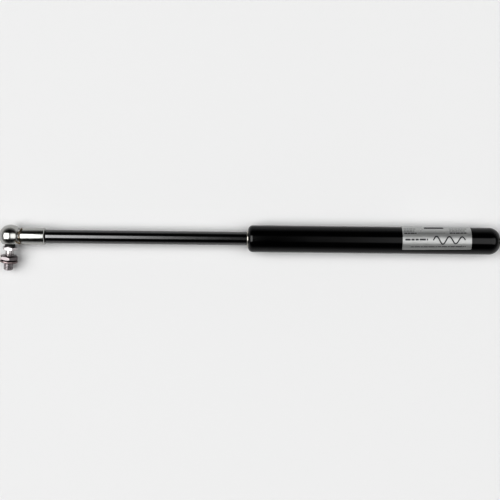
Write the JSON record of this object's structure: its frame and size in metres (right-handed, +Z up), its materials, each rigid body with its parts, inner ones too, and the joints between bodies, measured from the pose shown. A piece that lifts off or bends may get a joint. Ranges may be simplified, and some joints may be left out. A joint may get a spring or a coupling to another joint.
{
  "type": "gas strut stay",
  "caption": "Gas strut stay: black tube with a dark sliding rod, an angle ball joint with a clip, threaded stud and nut on the rod, and a threaded stud on the tube.",
  "frame": {"origin": "centre of the flat tip of the tube's threaded end stud, on the strut's axis", "axes": "+X along the strut from the ball joint to the tube's end stud; the ball stud leaves the joint towards -Y; +Z up from the surface that the strut lies on"},
  "size_m": [0.5363, 0.0503, 0.0283],
  "materials": {
    "black_paint": "gloss black paint",
    "zinc_plate": "zinc plated, satin",
    "socket_zinc": "bright zinc plate over a turned surface",
    "stud_zinc": "bright zinc plate",
    "washer_zinc": "zinc plate, warm tint",
    "bright_nose": "turned bright",
    "nitrided_steel": "black nitrided, polished",
    "plain_steel": "ground",
    "spring_steel": "drawn wire, brownish",
    "bronze": "sintered bronze",
    "rubber": "matt black rubber",
    "ring_polymer": "filled polymer",
    "label_foil": "satin printed foil"
  },
  "bodies": {
    "cylinder": {"cylinder_tube": "black_paint", "end_plug": "zinc_plate", "end_plug_oring": "rubber", "rod_guide": "bright_nose", "guide_oring": "rubber", "guide_bush": "bronze", "rod_seal": "rubber", "seal_washer": "plain_steel", "stop_sleeve": "zinc_plate", "label": "label_foil"},
    "floating_ring": {"piston_ring": "ring_polymer"},
    "rod": {"piston_rod": "nitrided_steel", "piston_front_disc": "plain_steel", "piston_body": "bronze", "piston_back_disc": "plain_steel", "piston_nut": "zinc_plate", "ball_socket": "socket_zinc", "safety_clip": "spring_steel"},
    "joint_ring": {"retaining_ring": "plain_steel"},
    "joint_seal": {"dust_seal": "rubber"},
    "stud": {"ball_stud": "stud_zinc"},
    "washer": {"lock_washer": "washer_zinc"},
    "nut": {"stud_nut": "stud_zinc"}
  },
  "joints": [
    {"name": "stroke", "type": "slide", "parent": "cylinder", "child": "floating_ring", "axis": [1, 0, 0], "range_m": [0, 0.2], "stiffness_N_per_m": 150, "springref_m": -0.6667},
    {"name": "rod_turn", "type": "hinge", "parent": "floating_ring", "child": "rod", "pos_m": [-0.5241, 0, 0], "axis": [1, 0, 0], "continuous": true},
    {"name": "joint_swivel", "type": "hinge", "parent": "rod", "child": "joint_ring", "pos_m": [-0.5241, 0, 0], "axis": [0, -1, 0], "continuous": true},
    {"name": "stud_tilt", "type": "hinge", "parent": "joint_ring", "child": "joint_seal", "pos_m": [-0.5241, 0, 0], "axis": [0.8412, 0, -0.5408], "range_deg": [-26.9, 3.1]},
    {"name": "stud_turn", "type": "hinge", "parent": "joint_seal", "child": "stud", "pos_m": [-0.5241, 0, 0], "axis": [-0.1115, -0.9785, -0.1734], "continuous": true},
    {"name": "nut_travel", "type": "slide", "parent": "stud", "child": "washer", "axis": [-0.1115, -0.9785, -0.1734], "range_m": [-0.0046, 0.0061]},
    {"name": "nut_turn", "type": "hinge", "parent": "washer", "child": "nut", "pos_m": [-0.5241, 0, 0], "axis": [-0.1115, -0.9785, -0.1734], "range_deg": [-1080, 1440]}
  ],
  "couplings": [
    {"joint": "nut_travel", "follows": "nut_turn", "m_per_rad": 0.00023873}
  ]
}
